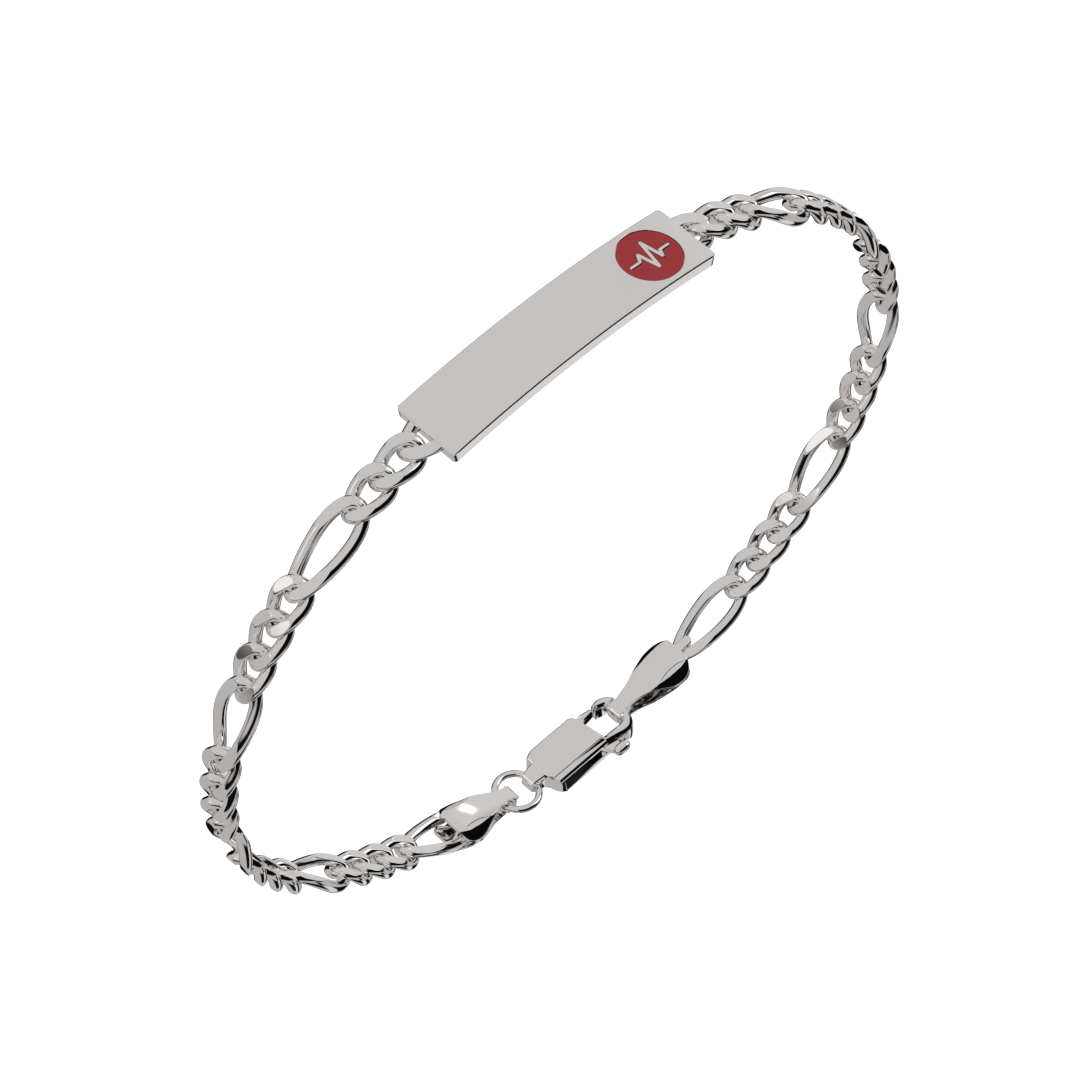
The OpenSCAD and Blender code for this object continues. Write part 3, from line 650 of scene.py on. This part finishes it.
block = outline([(1.15, -0.8), (1.38, -1.15), (1.62, -1.8), (1.85, -2.12), (2.2, -2.34)],
                [(2.2, -2.34), (7.13, -2.32)], [(7.13, -2.32), (7.32, -1.4)],
                [(7.32, -1.4), (7.22, -1.07), (7.02, 0.3), (6.82, 1.3)],
                [(6.82, 1.3), (6.62, 1.62), (6.4, 1.78), (6.15, 1.84)], [(6.15, 1.84), (2.09, 1.84)],
                [(2.09, 1.84), (1.6, 1.7), (1.2, 1.41)], [(1.2, 1.41), (1.15, -0.8)])
block_solid = slab(block, [(0, 0.18, -1.45), (-0.06, 0.11, -1.49), (-0.09, 0.09, -1.93), (-0.34, 0.02, -2.07),
                           (-0.55, 0.02, -2.07), (-0.62, 0.01, -2.13), (-1.65, 0), (-1.8, 0), (-2.05, 0.2)])


def tail():
    """The tail's outline on edge, (s, depth): half a circle, and a top a hair below the block's, so that no two
    faces share a plane. It stands on both sides at the half width of each s, and each side face, a little smaller
    and further out, makes a bevel with it."""
    turn = np.linspace(0.5 * math.pi, 1.5 * math.pi, 25)
    arc = TAIL_MIDDLE + TAIL_RADIUS * np.stack([np.cos(turn), np.sin(turn)], -1)
    line = np.concatenate([[(1.9, -0.004), (1.3, -0.004)], arc, [(1.7, -1.84)]])
    half = np.interp(line[:, 0], *TAIL_TAPER)
    middle = line.mean(axis=0)
    inward = (middle - line) / np.linalg.norm(middle - line, axis=-1, keepdims=True)
    rings = []
    for side, inset, wider in ((-1, 0.1, 0.02), (-1, 0, -0.062), (1, 0, -0.062), (1, 0.1, 0.02)):
        moved = line + inset * inward
        rings.append(np.stack([moved[:, 0], side * (half + wider), moved[:, 1]], -1))
    points = np.stack(rings)
    return points.reshape(-1, 3), capped(*points.shape[:2])


hook = outline([(6.9, -2.1), (8.0, -2.32), (8.9, -2.5), (9.4, -2.46), (9.85, -2.2), (10.2, -1.8), (10.5, -1.2),
                (10.68, -0.5), (10.72, 0.1), (10.6, 0.7), (10.3, 1.15), (9.9, 1.45), (9.5, 1.6), (9.1, 1.63),
                (8.72, 1.58)], [(8.72, 1.58), (8.56, 1.3), (8.5, 0.85)],
               [(8.5, 0.85), (9.0, 0.74), (9.4, 0.55), (9.68, 0.2), (9.78, -0.2), (9.72, -0.7), (9.5, -1.1),
                (9.15, -1.31), (8.4, -1.36), (7.4, -1.36), (6.9, -1.36)], [(6.9, -1.36), (6.9, -2.1)])
hook_points, hook_faces = slab(hook, [(0, 0.3), (-0.28, 0.08), (-0.75, 0), (-1.65, 0), (-1.95, 0.2)])
# The arm starts a little below the block's top and falls away towards the hook and the mouth.
hook_points[:, 2] -= 0.02 + np.clip(0.028 * (hook_points[:, 0] - 7.5) + 0.05 * (hook_points[:, 1] + 2), 0, 0.3)


def laid_across(radius, half_length, middle):
    """A round bar across the clasp, along y, about a middle (s, depth)."""
    (points, faces), (s, depth) = drum(radius, -half_length, half_length, (0, 0), 0.01), middle
    return np.stack([s + points[:, 0], points[:, 2], depth - points[:, 1]], -1), flipped(faces)


bar_s = pivot[0] + BAR_FROM_PIVOT
neck = np.array([(bar_s - NECK_BEHIND, -NECK_HALF), (bar_s + NECK_AHEAD, -NECK_HALF),
                 (bar_s + NECK_AHEAD, NECK_HALF), (bar_s - NECK_BEHIND, NECK_HALF)])
slot = np.array([(5.15, 0.75), (4.95, -3.4), (9.05, -3.4), (9.05, -1.9), (7.6, -0.9), (7.6, 1.8), (6.4, 1.6),
                 (5.9, 1.5), (5.3, 1.25)])
clasp_points, clasp_faces = forged([
    ("UNION", (hook_points, hook_faces)), ("DIFFERENCE", slab(neck, [(1, 0), (-3, 0)])),
    ("UNION", laid_across(BAR_RADIUS, BAR_HALF, (bar_s, -BAR_DEPTH))), ("UNION", block_solid), ("UNION", tail()),
    ("DIFFERENCE", laid_across(TAIL_HOLE_RADIUS, 2, TAIL_HOLE)),
    ("DIFFERENCE", slab(slot, [(SLOT_TOP, 0), (SLOT_FLOOR, 0)])),
    ("DIFFERENCE", drum(SLOT_DRUM, SLOT_FLOOR, SLOT_TOP, pivot, CUT_EDGE)),
    ("DIFFERENCE", drum(PIN_BORE, -3, PIN_BORE_TOP, pivot, CUT_EDGE))], CLASP_SOFTENED)
clasp = silver_piece("clasp_body_claw", placed(clasp_points, clasp_place), clasp_faces, "bracelet", CLASP_CREASE)
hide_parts("clasp_body")


# The clasp's lever: a gate that closes the mouth and a thumb knob, stamped in one with the plate between them,
# which turns in the body's slot.
gate = outline([(7.2, 0.84), (8.32, 0.97)], [(8.32, 0.97), (8.4, 1.18), (8.36, 1.4)], [(8.36, 1.4), (7.2, 1.57)],
               [(7.2, 1.57), (7.2, 0.84)])
gate_root = outline([(5.9, 0.15), (7.15, 0.84)], [(7.15, 0.84), (7.5, 0.88)], [(7.5, 0.88), (7.5, 1.58)],
                    [(7.5, 1.58), (7, 1.5)], [(7, 1.5), (5.9, 1.37)], [(5.9, 1.37), (5.9, 0.15)])
knob_root = outline([(5.35, 0.45), (7.05, -2.75)], [(7.05, -2.75), (8, -2.75)], [(8, -2.75), (7.95, -2.2)],
                    [(7.95, -2.2), (6.5, 0.5)], [(6.5, 0.5), (5.9, 1)], [(5.9, 1), (5.35, 0.45)])
LEVER_TOP, LEVER_UNDER, LEVER_EYE, LEVER_BORE, LEVER_CREASE = -0.62, -1.22, 0.65, 0.36, 24
LEVER_SHEET = [(LEVER_TOP, 0), (LEVER_UNDER, 0)]
GATE_LEVELS = [(-0.5, 0.14), (-0.64, 0), (-1.36, 0), (-1.5, 0.14)]
KNOB_MIDDLE, KNOB_HALF = (7.82, -2.95, -0.92), (0.78, 0.45, 0.48)
KNOB_STEPS, KNOB_ROWS = 48, 25


def knob():
    """A rounded nub on a grid of angles, u around and v from pole to pole, with p(x, n) the nth power of x with its
    sign kept: (a p(cos v, 0.75) p(cos u, 0.83), b p(cos v, 0.75) p(sin u, 0.75), c p(sin v, 0.8))."""
    turn = np.arange(KNOB_STEPS)[None, :] * 2 * math.pi / KNOB_STEPS
    rise = np.linspace(-math.pi / 2, math.pi / 2, KNOB_ROWS)[1:-1, None]
    power = lambda v, p: np.sign(v) * np.abs(v) ** p
    points = np.stack(np.broadcast_arrays(power(np.cos(rise), 0.75) * power(np.cos(turn), 0.83),
                                          power(np.cos(rise), 0.75) * power(np.sin(turn), 0.75),
                                          power(np.sin(rise), 0.8)), -1) * KNOB_HALF
    return points.reshape(-1, 3) + KNOB_MIDDLE, flipped(capped(*points.shape[:2]))


lever_points, lever_faces = forged([
    ("UNION", drum(LEVER_EYE, LEVER_UNDER, LEVER_TOP, pivot, 0.02)), ("UNION", slab(gate_root, LEVER_SHEET)),
    ("UNION", slab(knob_root, LEVER_SHEET)), ("UNION", slab(gate, GATE_LEVELS)), ("UNION", knob()),
    ("DIFFERENCE", drum(LEVER_BORE, -3, 1, pivot, CUT_EDGE))])
lever = silver_piece("clasp_lever_gate", placed(lever_points, clasp_place), lever_faces, "lever", LEVER_CREASE)
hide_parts("clasp_lever")


# The pin that the lever turns on: a short round rod of silver with rounded ends. It is pushed into its bore from
# below, through the lever's eye, and ends under the clasp's flat top, where it doesn't show.
PIN_RADIUS, PIN_UNDER, PIN_TOP, PIN_EDGE, PIN_CREASE = 0.32, -2.04, -0.21, 0.04, 24
pin_points, pin_faces = drum(PIN_RADIUS, PIN_UNDER, PIN_TOP, pivot, PIN_EDGE)
pin = silver_piece("lever_pin_rod", placed(pin_points, clasp_place), pin_faces, "bracelet", PIN_CREASE)
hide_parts("lever_pin")


# The floor and the light. The bracelet is held up in its worn form, so the pale floor lies well below it. A wide
# lamp overhead lights the floor; polished silver shows only what surrounds it, so the studio is drawn round the
# scene as a light tent with white panels and black flags. Its sizes are in metres.
FLOOR_DROP, FLOOR_REACH = 0.2, 12.0
floor_mesh = bpy.data.meshes.new("studio_floor")
floor_mesh.from_pydata([(-FLOOR_REACH, -FLOOR_REACH, -FLOOR_DROP), (FLOOR_REACH, -FLOOR_REACH, -FLOOR_DROP),
                        (FLOOR_REACH, FLOOR_REACH, -FLOOR_DROP), (-FLOOR_REACH, FLOOR_REACH, -FLOOR_DROP)],
                       [], [(0, 1, 2, 3)])
studio_floor = bpy.data.objects.new("studio_floor", floor_mesh)
bpy.context.scene.collection.objects.link(studio_floor)
studio_floor.visible_glossy = False

# The floor's paint: near white, with a faint grain.
PAINT_GRAIN, PAINT_DARK, PAINT_PALE, PAINT_ROUGHNESS = 40.0, 0.93, 0.96, 0.9
paint = bpy.data.materials.new("floor_paint")
paint.use_nodes = True
shader = paint.node_tree.nodes["Principled BSDF"]
place = node(paint.node_tree, "ShaderNodeTexCoord")
grain = node(paint.node_tree, "ShaderNodeTexNoise", None,
             {"Vector": place.outputs["Object"], "Scale": PAINT_GRAIN})
tone = node(paint.node_tree, "ShaderNodeMapRange", None,
            {"Value": grain.outputs["Fac"], "To Min": PAINT_DARK, "To Max": PAINT_PALE})
pale = node(paint.node_tree, "ShaderNodeCombineColor", None,
            {"Red": tone.outputs[0], "Green": tone.outputs[0], "Blue": tone.outputs[0]})
paint.node_tree.links.new(pale.outputs[0], shader.inputs["Base Color"])
shader.inputs["Roughness"].default_value = PAINT_ROUGHNESS
floor_mesh.materials.append(paint)

LAMP_ACROSS, LAMP_WATTS, LAMP_HEIGHT = 1.6, 21.0, 1.2
lamp_data = bpy.data.lights.new("overhead_lamp", "AREA")
lamp_data.shape, lamp_data.size, lamp_data.energy = "DISK", LAMP_ACROSS, LAMP_WATTS
lamp = bpy.data.objects.new("overhead_lamp", lamp_data)
lamp.location = (0, 0, LAMP_HEIGHT)
lamp.visible_glossy = False
bpy.context.scene.collection.objects.link(lamp)

# A card of the studio: a mask of directions whose turn and rise lie within its edges, each with a soft border. The
# turn goes from +Y towards +X, and the rise up from level, both in degrees.
card = bpy.data.node_groups.new("studio_card", "ShaderNodeTree")
for name, kind in (("Turn", "NodeSocketFloat"), ("Rise", "NodeSocketFloat"), ("Turn Middle", "NodeSocketFloat"),
                   ("Turn Reach", "NodeSocketFloat"), ("Low", "NodeSocketFloat"), ("High", "NodeSocketFloat"),
                   ("Soft", "NodeSocketFloat")):
    card.interface.new_socket(name, in_out="INPUT", socket_type=kind)
card.interface.new_socket("Mask", in_out="OUTPUT", socket_type="NodeSocketFloat")


def math_node(tree, operation, *values, clamp=False):
    """A Math node's output, for values that are numbers or sockets."""
    made = node(tree, "ShaderNodeMath", {"operation": operation, "use_clamp": clamp},
                {i: v for i, v in enumerate(values)})
    return made.outputs[0]


given = node(card, "NodeGroupInput").outputs
away = math_node(card, "SUBTRACT", given["Turn"], given["Turn Middle"])
away = math_node(card, "ABSOLUTE", math_node(card, "WRAP", away, 180.0, -180.0))


def fade(tree, distance, soft):
    """1 inside, 0 outside: half plus distance over soft, clamped and smoothed by 3 f f - 2 f f f."""
    f = math_node(tree, "ADD", math_node(tree, "DIVIDE", distance, soft), 0.5, clamp=True)
    square = math_node(tree, "MULTIPLY", f, f)
    return math_node(tree, "MULTIPLY", square, math_node(tree, "MULTIPLY_ADD", f, -2.0, 3.0))


wide = fade(card, math_node(card, "SUBTRACT", given["Turn Reach"], away), given["Soft"])
above = fade(card, math_node(card, "SUBTRACT", given["Rise"], given["Low"]), given["Soft"])
below = fade(card, math_node(card, "SUBTRACT", given["High"], given["Rise"]), given["Soft"])
mask = math_node(card, "MULTIPLY", math_node(card, "MULTIPLY", wide, above), below)
node(card, "NodeGroupOutput", None, {"Mask": mask})

world = bpy.data.worlds.new("studio")
world.use_nodes = True
bpy.context.scene.world = world
sky = world.node_tree
sky.nodes.clear()
ray = node(sky, "ShaderNodeTexCoord").outputs["Generated"]
aim = node(sky, "ShaderNodeSeparateXYZ", None, {0: ray}).outputs
turn = math_node(sky, "MULTIPLY", math_node(sky, "ARCTAN2", aim["X"], aim["Y"]), 180 / math.pi)
rise = math_node(sky, "MULTIPLY", math_node(sky, "ARCSINE", aim["Z"]), 180 / math.pi)
# Each card: brightness, middle of its turn, reach to each side, low edge, high edge, softness, in degrees. A card
# hangs in front of those above it. The first two are the tent's roof and floor; the near black ones are flags.
TENT_WALL, TENT_TINT = 0.5, (1.0, 0.985, 0.975)
CARDS = [
    (0.58, 0, 181, 25, 91, 20),
    (0.46, 0, 181, -91, -18, 10),
    (0.68, 140, 13, -80, -44, 6),
    (0.004, -175, 27, -72, -42, 5),
    (0.004, 112, 14, -72, -42, 4),
    (0.004, 180, 105, -18, 3, 5),
    (0.003, 170, 42, -3, 46, 4),
    (0.003, 151, 9, -42, -24, 3),
    (0.003, 20, 27, -82, 4, 5),
    (0.04, -66, 12, -5, 1, 8),
    (0.62, 64, 7, -46, 40, 4),
    (0.9, -68, 10, 16, 30, 8),
    (1.3, 117, 14, 10, 52, 6),
    (0.003, 134, 10, -22, 14, 4),
    (2.4, 64, 2.7, 18, 23.5, 5),
]
wall = node(sky, "ShaderNodeValue")
wall.outputs[0].default_value = TENT_WALL
light = wall.outputs[0]
for bright, middle, reach, low, high, soft in CARDS:
    made = node(sky, "ShaderNodeGroup", {"node_tree": card},
                {"Turn": turn, "Rise": rise, "Turn Middle": float(middle), "Turn Reach": float(reach),
                 "Low": float(low), "High": float(high), "Soft": float(soft)})
    light = node(sky, "ShaderNodeMix", {"data_type": "FLOAT"},
                 {0: made.outputs["Mask"], 2: light, 3: float(bright)}).outputs[0]
warm = node(sky, "ShaderNodeVectorMath", {"operation": "MULTIPLY"}, {0: light, 1: TENT_TINT})
back = node(sky, "ShaderNodeBackground", None, {"Color": warm.outputs[0]})
node(sky, "ShaderNodeOutputWorld", None, {"Surface": back.outputs[0]})
bpy.context.scene.view_settings.view_transform = "Standard"
